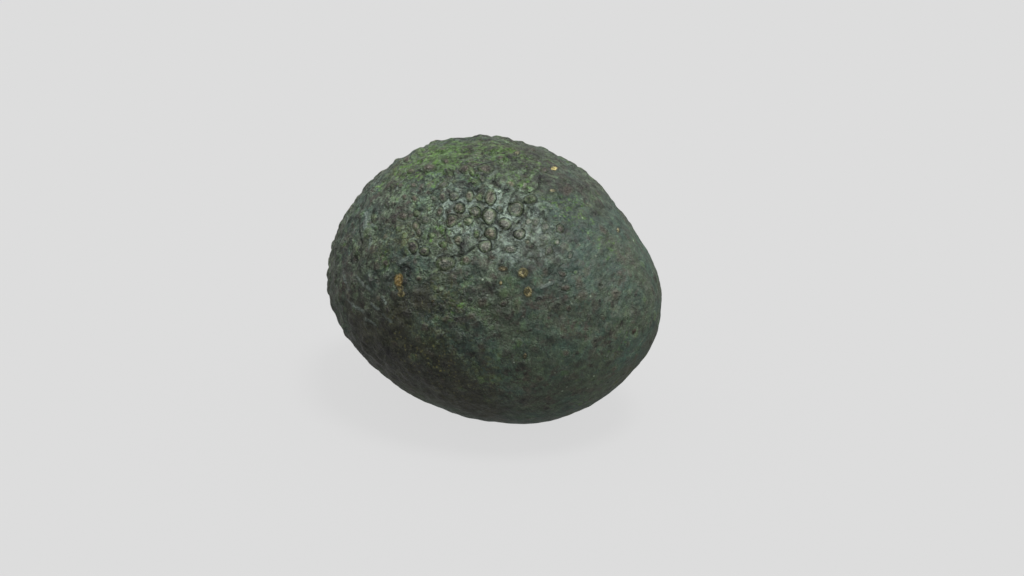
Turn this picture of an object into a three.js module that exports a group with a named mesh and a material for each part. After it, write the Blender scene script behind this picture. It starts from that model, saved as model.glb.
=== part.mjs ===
// A whole ripening avocado, lying on its side. The fruit is one body: a lopsided, slightly
// pear-shaped form with a pebbled rind, a woody stem button sunk in the stem end, a small
// blossom scar at the other end, and a small flat spot underneath, where it rests.
//
// Units are millimetres. +X runs from the stem end to the blossom end and +Z is up. The origin
// is the middle of the flat spot, so the fruit stands on the plane z = 0.

import * as THREE from "three";
import { ConvexHull } from "three/addons/math/ConvexHull.js";

// Driving dimensions of the smooth fruit, between the nodules of its rind.
const HALF_LENGTH = 48.3;
const HALF_WIDTH = 35.9;
const HALF_HEIGHT = 33.6;
const NECK_LENGTH = 5; // how much further the stem end reaches than the blossom end
const NECK_START = 0.55; // share of the half length at which the neck begins
// Girth along the fruit, as the coefficients of a cubic in x / HALF_LENGTH.
const GIRTH = [1, 0.078, -0.022, -0.029];

// Broad swells and flats that make the fruit lopsided: where each is, as degrees round the
// vertical axis from +X and degrees above the horizontal, how wide it is and how far it stands out.
const SWELLS = [
  { name: "crown", around: 177, above: 84, spread: 25, rise: 2.0 },
  { name: "flat back flank", around: 37, above: 31, spread: 24, rise: -2.9 },
  { name: "flat stem shoulder", around: 204, above: 15, spread: 32, rise: -4.3 },
  { name: "belly", around: -23, above: -50, spread: 16, rise: 1.3 },
];
const SWELL_RADIUS = 40; // the fruit's mean radius, to which a swell's rise is compared

// The pebbled rind.
const NODULES = 840;
const NODULE_RADIUS = 2.5;
const NODULE_RISE = 0.95;
const NODULE_TOP = 0.45; // share of a nodule's radius that its rounded top takes
const NODULE_CROWN = 0.35; // how much a nodule's top is domed
const SIZE_SPREAD = 0.22; // nodules are this share larger or smaller
const SCATTER = 0.26; // how far a nodule strays from an even spacing, as a share of it
const CALM_SHARE = 0.35; // nodules are this much lower at the blossom end and underneath
const CALM_ALONG = [5, 38]; // where along X they sink towards the blossom end
const CALM_BELOW = [10, 28]; // how far below the middle they sink towards the underside
const SHOULDER_POINTS = 5; // vertices round each nodule's shoulder
const SHOULDER_OUT = 0.56; // share of a nodule's radius at which they stand
const NEAREST = 1.15; // no two vertices of the rind are nearer than this
const SEED = 20;

// The stem end: a shallow dimple with the button in the middle of it, as [radius, height] rings.
const STEM = { around: 181, above: 5 };
const STEM_RINGS = [
  [0, -0.9],
  [1.3, -0.7],
  [2.5, -0.15],
  [3.3, -0.4],
  [3.8, -2.1],
  [4.9, -2.3],
  [6.4, -1.6],
  [8.4, -0.6],
  [10.8, 0],
];
// The blossom end: a pit hardly bigger than a pinhead, with a raised point in it.
const BLOSSOM = { around: -2, above: -4 };
const BLOSSOM_RINGS = [
  [0, 0.1],
  [0.9, -0.35],
  [2.2, 0],
];
const RING_POINTS = 18;

// The flat spot that the fruit rests on.
const REST_FROM_CENTRE = 3.2; // the fruit's centre is this far behind the spot, along X
const REST_DEPTH = 0.8; // how much of the round belly is pressed flat
const REST_RADIUS = 8;
const REST_FADE = 4; // nodules die away over this much more

const RIND_COLOUR = 0x4a5548;

const SHORT_STEP = 1e-3; // radians, over which slopes of the smooth fruit are measured

// A small seeded generator (mulberry32), so that each build scatters the nodules alike.
function generator(seed) {
  let state = seed >>> 0;
  return () => {
    state = (state + 0x6d2b79f5) >>> 0;
    let mixed = Math.imul(state ^ (state >>> 15), state | 1);
    mixed ^= mixed + Math.imul(mixed ^ (mixed >>> 7), mixed | 61);
    return ((mixed ^ (mixed >>> 14)) >>> 0) / 2 ** 32;
  };
}

function direction(around, above) {
  const polar = THREE.MathUtils.degToRad(90 - above);
  const azimuth = THREE.MathUtils.degToRad(around);
  const sine = Math.sin(polar);
  return new THREE.Vector3(sine * Math.cos(azimuth), sine * Math.sin(azimuth), Math.cos(polar));
}

function smoothstep(from, to, value) {
  return THREE.MathUtils.smoothstep(value, from, to);
}

const swells = SWELLS.map((swell) => ({
  towards: direction(swell.around, swell.above),
  spread: THREE.MathUtils.degToRad(swell.spread),
  rise: swell.rise / SWELL_RADIUS,
}));

// The smooth fruit's surface in the direction dir, measured from the fruit's centre.
function smoothPoint(dir) {
  const [g0, g1, g2, g3] = GIRTH;
  const girth = g0 + dir.x * (g1 + dir.x * (g2 + dir.x * g3));
  let swollen = 1;
  for (const { towards, spread, rise } of swells) {
    swollen += rise * Math.exp(-((dir.angleTo(towards) / spread) ** 2));
  }
  const neck = THREE.MathUtils.clamp((-dir.x - NECK_START) / (1 - NECK_START), 0, 1);
  return new THREE.Vector3(
    HALF_LENGTH * dir.x * swollen - NECK_LENGTH * neck ** 2,
    HALF_WIDTH * girth * dir.y * swollen,
    HALF_HEIGHT * girth * dir.z * swollen,
  );
}

// The unit direction reached from dir by a step along a tangent.
function stepped(dir, tangent, step) {
  return dir.clone().addScaledVector(tangent, step).normalize();
}

// Two unit vectors square to dir and to each other.
function tangents(dir) {
  const helper = Math.abs(dir.z) < 0.9 ? new THREE.Vector3(0, 0, 1) : new THREE.Vector3(1, 0, 0);
  const first = helper.cross(dir).normalize();
  return [first, dir.clone().cross(first)];
}

// The smooth surface's outward normal, from two short steps along it.
function outward(dir) {
  const here = smoothPoint(dir);
  const [first, second] = tangents(dir).map((tangent) =>
    smoothPoint(stepped(dir, tangent, SHORT_STEP)).sub(here),
  );
  return first.cross(second).normalize();
}

// The directions of count points on a circle of that radius, in millimetres, round dir.
function circle(dir, radius, count, turn = 0) {
  const [first, second] = tangents(dir);
  const here = smoothPoint(dir);
  const stretch = (tangent) =>
    smoothPoint(stepped(dir, tangent, SHORT_STEP)).distanceTo(here) / SHORT_STEP;
  const along = radius / stretch(first);
  const across = radius / stretch(second);
  return Array.from({ length: count }, (_, i) => {
    const angle = turn + (2 * Math.PI * i) / count;
    const towards = first.clone().multiplyScalar(along * Math.cos(angle));
    towards.addScaledVector(second, across * Math.sin(angle));
    return stepped(dir, towards, 1);
  });
}

// An even spiral of nodules round the fruit, each strayed a little from its place.
function scatterNodules() {
  const random = generator(SEED);
  const goldenAngle = Math.PI * (3 - Math.sqrt(5));
  const spacing = Math.sqrt((4 * Math.PI) / NODULES);
  return Array.from({ length: NODULES }, (_, i) => {
    const x = 1 - (2 * i + 1) / NODULES;
    const radius = Math.sqrt(1 - x * x);
    const angle = i * goldenAngle;
    const even = new THREE.Vector3(x, radius * Math.cos(angle), radius * Math.sin(angle));
    const [first, second] = tangents(even);
    const bearing = 2 * Math.PI * random();
    const stray = SCATTER * spacing * Math.sqrt(random());
    const aside = first.multiplyScalar(Math.cos(bearing)).addScaledVector(second, Math.sin(bearing));
    const dir = stepped(even, aside, stray);
    const size = 1 + SIZE_SPREAD * (2 * random() - 1);
    return { dir, centre: smoothPoint(dir), size, turn: 2 * Math.PI * random() };
  });
}

// The height of a profile given as [radius, height] rings, in straight steps between them.
function ringHeight(rings, radius) {
  const outer = rings.findIndex(([ring]) => ring > radius);
  if (outer < 0) return 0;
  const [r0, h0] = rings[outer - 1];
  const [r1, h1] = rings[outer];
  return THREE.MathUtils.mapLinear(radius, r0, r1, h0, h1);
}

const stemDir = direction(STEM.around, STEM.above);
const stemCentre = smoothPoint(stemDir);
const blossomDir = direction(BLOSSOM.around, BLOSSOM.above);
const blossomCentre = smoothPoint(blossomDir);
const stemReach = STEM_RINGS.at(-1)[0];
const STEM_FADE = [stemReach - NODULE_RADIUS, stemReach + NODULE_RADIUS];
const blossomReach = BLOSSOM_RINGS.at(-1)[0];

const restPoint = smoothPoint(new THREE.Vector3(REST_FROM_CENTRE / HALF_LENGTH, 0, -1).normalize());
restPoint.z += REST_DEPTH;

const nodules = scatterNodules().filter(
  ({ centre }) =>
    centre.distanceTo(stemCentre) > stemReach - NODULE_RADIUS &&
    centre.distanceTo(blossomCentre) > blossomReach,
);

// A nodule's height, away being how far out from its middle, as a share of its radius: a gently
// domed top, then a steep side.
function dome(away) {
  const top = 1 - NODULE_CROWN * away ** 2;
  return NODULE_RISE * top * (1 - smoothstep(NODULE_TOP, 1, away));
}

// The share of their rise that nodules keep at a point, lower near the blossom end and the belly.
function calm(point) {
  const end = smoothstep(...CALM_ALONG, point.x);
  const under = smoothstep(...CALM_BELOW, -point.z);
  return 1 - CALM_SHARE * Math.max(end, under);
}

// Zero over the flat spot and one away from it.
function restFade(point) {
  const away = Math.hypot(point.x - restPoint.x, point.y - restPoint.y);
  return point.z > 0 ? 1 : smoothstep(REST_RADIUS, REST_RADIUS + REST_FADE, away);
}

// How far the rind stands out from the smooth fruit at a point of its surface.
function relief(point) {
  let highest = 0;
  for (const { centre, size } of nodules) {
    const away = point.distanceTo(centre) / (NODULE_RADIUS * size);
    highest = Math.max(highest, size * dome(away));
  }
  const fromStem = point.distanceTo(stemCentre);
  return (
    highest * calm(point) * restFade(point) * smoothstep(...STEM_FADE, fromStem) +
    ringHeight(STEM_RINGS, fromStem) +
    ringHeight(BLOSSOM_RINGS, point.distanceTo(blossomCentre))
  );
}

// The finished surface in the direction dir, with its underside pressed flat.
function skinPoint(dir) {
  const point = smoothPoint(dir);
  point.addScaledVector(outward(dir), relief(point));
  point.z = Math.max(point.z, restPoint.z);
  return point.sub(restPoint);
}

// Points spread over a sphere, joined into triangles as the hull of the sphere joins them.
function spanned(dirs) {
  const index = new Map(dirs.map((dir, i) => [dir, i]));
  return new ConvexHull().setFromPoints(dirs).faces.map(({ edge }) => [
    index.get(edge.head().point),
    index.get(edge.next.head().point),
    index.get(edge.next.next.head().point),
  ]);
}

// The directions in kept, then those in offered that come no nearer than NEAREST to one before.
function spaced(kept, offered) {
  const dirs = [...kept];
  const points = dirs.map(smoothPoint);
  for (const dir of offered) {
    const point = smoothPoint(dir);
    const inRings =
      point.distanceTo(stemCentre) < stemReach || point.distanceTo(blossomCentre) < blossomReach;
    if (!inRings && points.every((other) => point.distanceTo(other) > NEAREST)) {
      dirs.push(dir);
      points.push(point);
    }
  }
  return dirs;
}

// Where the mesh has its vertices: on each nodule's top and round its shoulder, in the valleys
// between nodules, and on the rings of the stem end and the blossom end.
function vertexDirections() {
  const tops = nodules.map(({ dir }) => dir);
  const valleys = spanned(tops).map((corners) =>
    corners.reduce((sum, i) => sum.add(tops[i]), new THREE.Vector3()).normalize(),
  );
  const shoulders = nodules.flatMap(({ dir, size, turn }) =>
    circle(dir, SHOULDER_OUT * NODULE_RADIUS * size, SHOULDER_POINTS, turn),
  );
  const rings = [
    ...STEM_RINGS.map(([radius]) => [stemDir, radius, radius ? RING_POINTS : 1]),
    ...BLOSSOM_RINGS.map(([radius]) => [blossomDir, radius, radius ? RING_POINTS / 2 : 1]),
  ];
  const placed = rings.flatMap(([dir, radius, count]) => circle(dir, radius, count));
  return spaced(placed, [...tops, ...shoulders, ...valleys]);
}

function avocadoGeometry() {
  const dirs = vertexDirections();
  return new THREE.BufferGeometry()
    .setFromPoints(dirs.map(skinPoint))
    .setIndex(spanned(dirs).flat());
}

const geometry = avocadoGeometry();
geometry.computeVertexNormals();
const rind = new THREE.MeshStandardMaterial({ color: RIND_COLOUR, roughness: 0.55, metalness: 0 });
const avocado = new THREE.Mesh(geometry, rind);
avocado.name = "avocado";

const part = new THREE.Group();
part.add(avocado);

export default part;
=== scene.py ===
"""The looks of a whole ripening avocado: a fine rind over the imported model's form, its stem button,
a plain pale floor, soft light and the camera.

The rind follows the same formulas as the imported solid. Lengths are millimetres, and places are
measured from the fruit's centre, along the model's axes. They become metres, measured from the spot
that the fruit rests on, where a mesh or the camera is made.
"""

import math
from functools import cached_property

import bpy
import numpy as np
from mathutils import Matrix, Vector, noise


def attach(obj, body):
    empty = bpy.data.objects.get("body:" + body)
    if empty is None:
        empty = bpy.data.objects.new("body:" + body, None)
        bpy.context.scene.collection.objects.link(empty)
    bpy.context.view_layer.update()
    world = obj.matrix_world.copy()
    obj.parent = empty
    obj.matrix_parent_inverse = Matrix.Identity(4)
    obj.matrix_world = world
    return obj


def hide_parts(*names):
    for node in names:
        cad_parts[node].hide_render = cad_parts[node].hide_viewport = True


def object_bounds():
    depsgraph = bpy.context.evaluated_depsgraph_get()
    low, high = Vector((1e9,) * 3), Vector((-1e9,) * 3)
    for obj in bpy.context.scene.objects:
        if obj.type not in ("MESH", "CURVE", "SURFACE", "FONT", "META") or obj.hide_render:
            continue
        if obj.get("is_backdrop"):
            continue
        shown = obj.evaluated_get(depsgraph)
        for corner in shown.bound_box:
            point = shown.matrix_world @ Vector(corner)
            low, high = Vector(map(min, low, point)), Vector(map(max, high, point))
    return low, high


MM = 0.001


def linear(*rgb):
    """A colour given as three sRGB bytes, as Blender's linear RGB."""
    return tuple(c / 12.92 if c <= 0.04045 else ((c + 0.055) / 1.055) ** 2.4 for c in (v / 255 for v in rgb))


# ---------------------------------------------------------------- the smooth fruit, as in the solid

HALF_LENGTH, HALF_WIDTH, HALF_HEIGHT = 48.3, 35.9, 33.6
NECK_LENGTH = 5.0
NECK_START = 0.55
GIRTH = (1.0, 0.078, -0.022, -0.029)
# Each swell: degrees round from +X, degrees above the horizontal, width in degrees, rise.
SWELLS = ((177, 84, 25, 2.0), (37, 31, 24, -2.9), (204, 15, 32, -4.3), (-23, -50, 16, 1.3))
SWELL_RADIUS = 40.0

NODULES = 840
NODULE_RADIUS = 2.5
NODULE_RISE = 0.95
NODULE_TOP = 0.45
NODULE_CROWN = 0.35
SIZE_SPREAD = 0.22
SCATTER = 0.26
CALM_ALONG = (5.0, 38.0)
CALM_BELOW = (10.0, 28.0)
SEED = 20

STEM = (181, 5)
STEM_REACH = 10.8
BLOSSOM = (-2, -4)
BLOSSOM_REACH = 2.2

REST_FROM_CENTRE = 3.2
REST_DEPTH = 0.8
REST_RADIUS = 8.0
REST_FADE = 4.0

SHORT_STEP = 1e-3  # between the places that a surface normal is worked out from

# ---------------------------------------------------------------- the photograph's camera

IMAGE_WIDTH, IMAGE_HEIGHT = 1024, 576
LENS, SENSOR = 50.0, 36.0
AZIMUTH, ELEVATION = 42, 18  # degrees, where azimuth 0 looks along +Y
DISTANCE = 359.8  # from the fruit's centre, along the view
OFFSET_RIGHT, OFFSET_UP = -6.87, 2.59  # how far the fruit's centre is right of and above the view's middle
RAY_ROUNDS, RAY_STRIDE, RAY_MISS = 60, 0.7, 0.005  # how a pixel's ray closes in on the fruit

# ---------------------------------------------------------------- what shows in the photograph
# Places are pixels of the 1024 x 576 photograph, and stand on the fruit wherever their ray meets it.

# Clear nodules of each tone: x, y, half width, half height, how dark the ring round them is.
CLEAR_NODULES = {
    "grey": (
        (455, 198, 4.6, 4.6, 0.9), (476, 213, 6, 5.2, 0.8), (446, 264, 9.6, 7.4, 0.9),
        (444, 186, 4.4, 4, 0.6), (426, 221, 4.8, 5, 0.4), (483, 180, 3.4, 3.4, 0.5),
        (516, 209, 8, 7.2, 0.9), (545, 238, 5.2, 5, 0.4), (389, 205, 4.2, 4.8, 0.4),
        (536, 222, 3.4, 4.4, 0.5), (435, 199, 3.2, 3, 0.4), (500, 210, 3.2, 3, 0.5),
        (382, 243, 3, 3.6, 0.3), (498, 187, 3.6, 3, 0.4),
    ),
    "tan": (
        (470, 197, 4, 5.8, 1), (491, 198, 5.2, 7, 1), (460, 210, 5.8, 4.6, 0.8), (491, 234, 5.6, 6.6, 0.9),
        (459, 240, 4.4, 4.8, 0.4), (417, 227, 3.6, 5, 0.6), (531, 248, 3.2, 3.2, 0.5),
        (527, 243, 2.8, 2.8, 0.5), (511, 185, 4.2, 3.8, 0.5), (387, 238, 2.4, 3.2, 0.4),
    ),
    "brown": (
        (444, 199, 4.2, 4.2, 0.5), (452, 221, 5.6, 6.2, 0.8), (441, 212, 4.2, 4.2, 0.6),
        (416, 200, 4, 4, 0.4), (415, 187, 3.6, 3.6, 0.4), (402, 186, 3, 3.4, 0.3), (404, 217, 4.2, 5, 0.5),
        (465, 170, 6, 4.2, 0.6), (487, 170, 8, 5, 0.7), (430, 170, 7, 4, 0.6), (466, 261, 5.4, 4.6, 0.4),
        (493, 258, 4.2, 3.6, 0.3), (560, 230, 3.8, 4.4, 0.7), (524, 177, 4.2, 2.6, 0.4),
        (567, 192, 7, 6, 0.3), (387, 263, 4.6, 5, 0.5), (544, 171, 4.2, 3, 0.4), (405, 198, 3.6, 3.6, 0.3),
        (420, 233, 3.4, 3.6, 0.5), (412, 172, 4.4, 3.2, 0.5), (421, 280, 4, 3.6, 0.3),
        (566, 287, 4.4, 4, 0.35), (562, 274, 4, 3.6, 0.35), (567, 308, 4, 3.6, 0.3),
        (503, 303, 5.2, 4, 0.4), (602, 318, 2.4, 3.6, 0.3), (395, 157, 4, 2.6, 0.5),
        (408, 160, 4.4, 2.8, 0.5), (446, 163, 4, 2.6, 0.4), (500, 160, 4.4, 2.4, 0.4),
    ),
    "green": (
        (469, 223, 4.6, 4.6, 0.8), (478, 235, 3.5, 4.3, 0.9), (444, 245, 4.2, 4.2, 0.6),
        (418, 214, 4.2, 4.2, 0.8), (429, 210, 2.8, 2.8, 0.5), (480, 198, 3.6, 4.4, 0.6),
        (450, 174, 4, 3.6, 0.4), (472, 173, 3.4, 3.4, 0.5), (475, 183, 4.2, 3.8, 0.5),
        (530, 200, 5.6, 4, 0.6), (375, 219, 3.2, 5.2, 0.5), (432, 236, 3, 3.2, 0.5),
        (455, 183, 3.4, 3, 0.5), (400, 230, 3.2, 4, 0.3), (574, 273, 2.6, 2.4, 0.3),
        (462, 159, 3.6, 2.4, 0.4), (420, 153, 4, 2.4, 0.3),
    ),
    "pale": (
        (489, 217, 7, 8.6, 1), (485, 247, 5.9, 5.6, 1), (505, 225, 6.4, 6.3, 1), (520, 235, 5.4, 5.5, 1),
        (549, 252, 4.2, 4.2, 0.6), (511, 250, 5.6, 3.8, 0.5), (556, 243, 3.4, 3.4, 0.4),
        (570, 256, 3.6, 3.4, 0.4), (545, 228, 4, 3.6, 0.4), (528, 222, 3.2, 3.8, 0.4),
        (525, 187, 2.8, 4, 0.3),
    ),
    "dark": ((415, 248, 4.2, 7, 0.9), (426, 252, 4.8, 5.2, 0.9), (435, 303, 3.2, 3.6, 0.5)),
}
# Dark dots: x, y, half width, half height.
DARK_DOTS = (
    (604, 265, 3.6, 3.6), (599, 301, 2.2, 4.2), (634, 296, 2.2, 3.4), (653, 299, 1.8, 3),
    (567, 308, 3.2, 3), (611, 304, 2.4, 5.4), (620, 323, 3, 5), (610, 331, 3.2, 6), (563, 337, 3, 2.4),
    (590, 364, 3.6, 3.4), (576, 351, 3, 3.4), (595, 384, 2.6, 2.8), (642, 330, 2.2, 4.4),
    (587, 239, 2.8, 3), (551, 314, 3.2, 3), (554, 393, 1.8, 1.8), (495, 334, 4.4, 3.4),
    (456, 319, 4.8, 2.8), (488, 283, 4.2, 3.6), (507, 369, 5.4, 3.4), (525, 371, 3.6, 2.8),
    (519, 377, 5, 2), (538, 298, 4.6, 3.4), (543, 345, 2.4, 2.2), (471, 300, 3, 2.6), (530, 329, 3, 2.4),
    (438, 291, 3.4, 2.6), (576, 322, 2.4, 2.4),
)
# Corky golden spots: x, y, half width, half height, tone.
GOLD_SPOTS = (
    (400, 280, 4.8, 6.6, "ochre"), (403, 294, 3.4, 3.4, "straw"), (402, 288, 3, 3.2, "straw"),
    (523, 273, 5.2, 5.2, "straw"), (528, 292, 4.4, 5.6, "straw"), (503, 269, 4.8, 2.6, "bark"),
    (501, 283, 1.8, 2.4, "straw"), (554, 169, 3.4, 1.7, "shining"), (552, 192, 3.2, 2, "cream"),
    (517, 155, 2.4, 2, "cream"), (617, 231, 1.4, 2.9, "cream"), (525, 355, 2, 3, "bark"),
    (434, 301, 1.6, 1.8, "bark"),
)
# The same on the sides that the photograph hides: degrees round from +X, degrees above, half axes in mm.
HIDDEN_GOLD = (
    (120, 35, 0.9, 0.7, "straw"), (95, 8, 0.6, 0.9, "ochre"), (142, -18, 1, 0.8, "bark"),
    (70, 48, 0.5, 0.5, "shining"), (205, 42, 0.7, 0.5, "straw"), (236, 12, 0.8, 0.6, "ochre"),
    (62, -12, 0.5, 0.6, "straw"), (160, 60, 0.5, 0.6, "shining"), (150, 22, 1.1, 0.9, "ochre"),
)
# Creases of each width in mm, as runs of pixels: cut in, and painted dark in them as shade.
CREASES = {
    0.36: (
        ((511, 231), (518, 224), (523, 215)), ((455, 206), (460, 204), (464, 206), (465, 210), (463, 215)),
        ((471, 210), (473, 207), (477, 208), (481, 212), (480, 217)), ((449, 171), (453, 174), (455, 179)),
        ((454, 240), (458, 237), (462, 236)), ((557, 195), (560, 200)),
        ((428, 239), (429, 233), (431, 229)), ((470, 181), (473, 178), (478, 177)),
    ),
    0.4: (
        ((352, 262), (355, 250)), ((539, 175), (540, 183), (538, 190), (532, 194), (526, 195), (519, 193)),
        ((519, 187), (517, 192), (513, 197), (509, 205), (503, 209), (500, 214)),
        ((524, 203), (529, 208), (532, 212), (531, 217)), ((431, 194), (434, 191), (437, 189), (440, 190)),
        ((496, 177), (493, 181), (496, 187)), ((358, 246), (357, 262)), ((384, 218), (380, 232)),
        ((396, 206), (391, 216)), ((477, 196), (476, 192), (480, 190), (484, 187), (488, 188)),
        ((414, 217), (415, 213), (419, 211), (423, 211)),
        ((512, 205), (517, 204), (522, 207), (523, 212), (520, 216)), ((420, 171), (424, 175), (426, 176)),
    ),
    0.42: (
        ((450, 207), (447, 212), (447, 218), (449, 226), (446, 231), (444, 237), (445, 243), (441, 247)),
        ((468, 213), (470, 216), (474, 217), (479, 219)),
    ),
    0.45: (
        ((368, 198), (362, 212), (361, 230), (363, 242), (361, 262)),
        ((452, 257), (461, 256), (468, 253), (474, 248)), ((381, 196), (376, 208), (374, 222)),
        ((487, 207), (485, 212), (482, 216), (481, 222), (480, 228), (482, 233)),
        ((478, 203), (483, 204), (488, 205)), ((543, 213), (543, 218), (545, 220)),
    ),
    0.5: (((376, 262), (378, 276)),),
    0.55: (((492, 207), (496, 211), (498, 217), (496, 224)),),
    0.6: (
        ((401, 270), (406, 266), (411, 270)), ((354, 240), (352, 252), (354, 263)),
        ((408, 272), (409, 277)),
    ),
    0.75: (((529, 206), (536, 203)),),
}
# Ridges of each width in mm, as runs of pixels: raised, and painted light along them as a highlight.
RIDGES = {
    0.36: (
        ((452, 203), (457, 204), (463, 203), (467, 205), (472, 204), (474, 201)),
        ((488, 206), (492, 208), (496, 207)),
    ),
    0.4: (
        ((498, 211), (502, 206), (505, 203)), ((445, 209), (444, 215), (446, 220)),
        ((463, 236), (470, 233), (475, 229)), ((496, 227), (500, 231)),
    ),
    0.45: (
        ((541, 288), (547, 285), (553, 283)), ((514, 231), (519, 226), (524, 220)),
        ((440, 222), (444, 228)),
    ),
    0.5: (
        ((345, 272), (348, 282), (352, 290)), ((358, 276), (364, 284), (371, 290)),
        ((371, 276), (374, 284)), ((350, 299), (358, 307), (366, 312)), ((372, 303), (380, 309)),
        ((384, 314), (393, 321)), ((368, 318), (377, 324)), ((384, 297), (388, 303)),
        ((356, 230), (354, 238)), ((396, 190), (401, 183), (408, 178)),
        ((506, 189), (510, 187), (513, 191)),
    ),
    0.6: (((350, 216), (349, 224)), ((372, 240), (371, 250)), ((400, 264), (408, 259))),
    0.65: (((537, 207), (537, 214), (539, 222)),),
    0.75: (((367, 214), (367, 224), (369, 235)),),
}
FAR = 5.0  # the most that the fields of creases and ridges say, in widths

TONES = {
    "brown": linear(83, 75, 63),
    "tan": linear(109, 106, 84),
    "grey": linear(88, 98, 86),
    "pale": linear(120, 124, 112),
    "green": linear(90, 118, 68),
    "dark": linear(46, 42, 37),
}
GOLD_TONES = {
    "ochre": linear(142, 114, 36),
    "straw": linear(114, 110, 66),
    "bark": linear(94, 90, 64),
    "cream": linear(136, 139, 107),
    "shining": linear(250, 234, 148),
}
# How often each tone is drawn for the nodules that the photograph doesn't show clearly.
FAINT_TONES = ("brown", "brown", "dark", "grey", "dark", "dark", "green", "brown")
FAINT_SHARE = 0.56  # a faint nodule's top, as a share of the solid's nodule
CLEAR_STRENGTH, DOT_STRENGTH = 0.85, 0.7  # how strongly a clear nodule and a dark dot show their tone
CLUSTER = (490, 215)  # the middle of the photograph's clear nodules
CLUSTER_BEHIND = (22.0, 40.0)  # how far behind it, along the view, clear nodules come again
PATCHINESS = 15.0  # how long the groups of clear nodules are on the sides that the photograph hides
CLEARANCE = 1.3  # between a clear nodule's edge and a faint one's middle
STRETCH = 0.5  # how far from round a faint nodule may be
PATCHY_EDGE = 0.16  # how softly the groups of clear nodules end, of a noise from -1 to 1
# A faint nodule's share of its tone and darkness of its ring: each the least, and what its draw adds.
FAINT_LOOKS = np.array([(0.2, 0.5), (0.04, 0.26)])
GROUPED_LOOKS = np.array([(0.2, 0.0), (0.15, 0.55)])  # what being in a group of clear ones adds to those
OFF_SURFACE = 0.7  # how much height over the surface counts beside distance along it


# ---------------------------------------------------------------- the fruit's formulas, on arrays


def direction(around, above):
    """The unit direction that many degrees round from +X and above the horizontal."""
    a, e = math.radians(around), math.radians(above)
    return np.array([math.cos(a) * math.cos(e), math.sin(a) * math.cos(e), math.sin(e)])


def smoothstep(low, high, value):
    t = np.clip((value - low) / (high - low), 0, 1)
    return t * t * (3 - 2 * t)


def unit(vectors):
    return vectors / np.linalg.norm(vectors, axis=-1, keepdims=True)


def smooth_point(dirs):
    """The smooth fruit's surface in those unit directions, from the fruit's centre."""
    x = dirs[..., 0]
    g0, g1, g2, g3 = GIRTH
    girth = g0 + x * (g1 + x * (g2 + x * g3))
    swollen = np.ones_like(x)
    for around, above, width, rise in SWELLS:
        angle = np.arccos(np.clip(dirs @ direction(around, above), -1, 1))
        swollen = swollen + rise / SWELL_RADIUS * np.exp(-((angle / math.radians(width)) ** 2))
    neck = np.clip((-x - NECK_START) / (1 - NECK_START), 0, 1)
    along = HALF_LENGTH * x * swollen - NECK_LENGTH * neck**2
    across, up = (half * girth * dirs[..., k] * swollen for k, half in ((1, HALF_WIDTH), (2, HALF_HEIGHT)))
    return np.stack([along, across, up], axis=-1)


def tangents(dirs):
    """Two unit vectors square to each direction and to each other."""
    steep = np.abs(dirs[..., 2:3]) >= 0.9
    helper = np.where(steep, np.array([1.0, 0, 0]), np.array([0, 0, 1.0]))
    first = unit(np.cross(helper, dirs))
    return first, np.cross(dirs, first)


def outward(dirs):
    """The smooth surface's outward normals."""
    here = smooth_point(dirs)
    first, second = (smooth_point(unit(dirs + SHORT_STEP * t)) - here for t in tangents(dirs))
    return unit(np.cross(first, second))


STEM_CENTRE = smooth_point(direction(*STEM))
STEM_AXIS = outward(direction(*STEM)[None])[0]
BLOSSOM_CENTRE = smooth_point(direction(*BLOSSOM))
REST_POINT = smooth_point(unit(np.array([REST_FROM_CENTRE / HALF_LENGTH, 0, -1.0]))) + [0, 0, REST_DEPTH]


def draws(seed):
    """The solid's small seeded generator of numbers from 0 to 1."""
    whole = 0xFFFFFFFF
    state = seed
    while True:
        state = (state + 0x6D2B79F5) & whole
        mixed = ((state ^ (state >> 15)) * (state | 1)) & whole
        mixed ^= (mixed + (((mixed ^ (mixed >> 7)) * (mixed | 61)) & whole)) & whole
        yield (mixed ^ (mixed >> 14)) / 2**32


def scattered_nodules():
    """The solid's nodules: their directions and sizes."""
    random = draws(SEED)
    golden = math.pi * (3 - math.sqrt(5))
    spacing = math.sqrt(4 * math.pi / NODULES)
    dirs, sizes = [], []
    for i in range(NODULES):
        x = 1 - (2 * i + 1) / NODULES
        r = math.sqrt(1 - x * x)
        even = np.array([x, r * math.cos(i * golden), r * math.sin(i * golden)])
        first, second = tangents(even)
        bearing = 2 * math.pi * next(random)
        stray = SCATTER * spacing * math.sqrt(next(random))
        sizes.append(1 + SIZE_SPREAD * (2 * next(random) - 1))
        next(random)  # the solid turns its shoulder points by this one
        dirs.append(even + stray * (first * math.cos(bearing) + second * math.sin(bearing)))
    return unit(np.array(dirs)), np.array(sizes)


def noise_at(points, scale, seed_shift):
    """Smooth noise from about -1 to 1 at each point, with features about scale long."""
    shift = Vector(seed_shift)
    return np.array([noise.noise(Vector(p) / scale + shift) for p in points])


# ---------------------------------------------------------------- the camera's rays


def camera_frame():
    """The camera's right, up and backward directions."""
    right, back = direction(AZIMUTH, 0), direction(AZIMUTH - 90, ELEVATION)
    return right, np.cross(back, right), back


def camera_place():
    """Where the camera stands, from the fruit's centre."""
    right, up, back = camera_frame()
    return back * DISTANCE - right * OFFSET_RIGHT - up * OFFSET_UP


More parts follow.
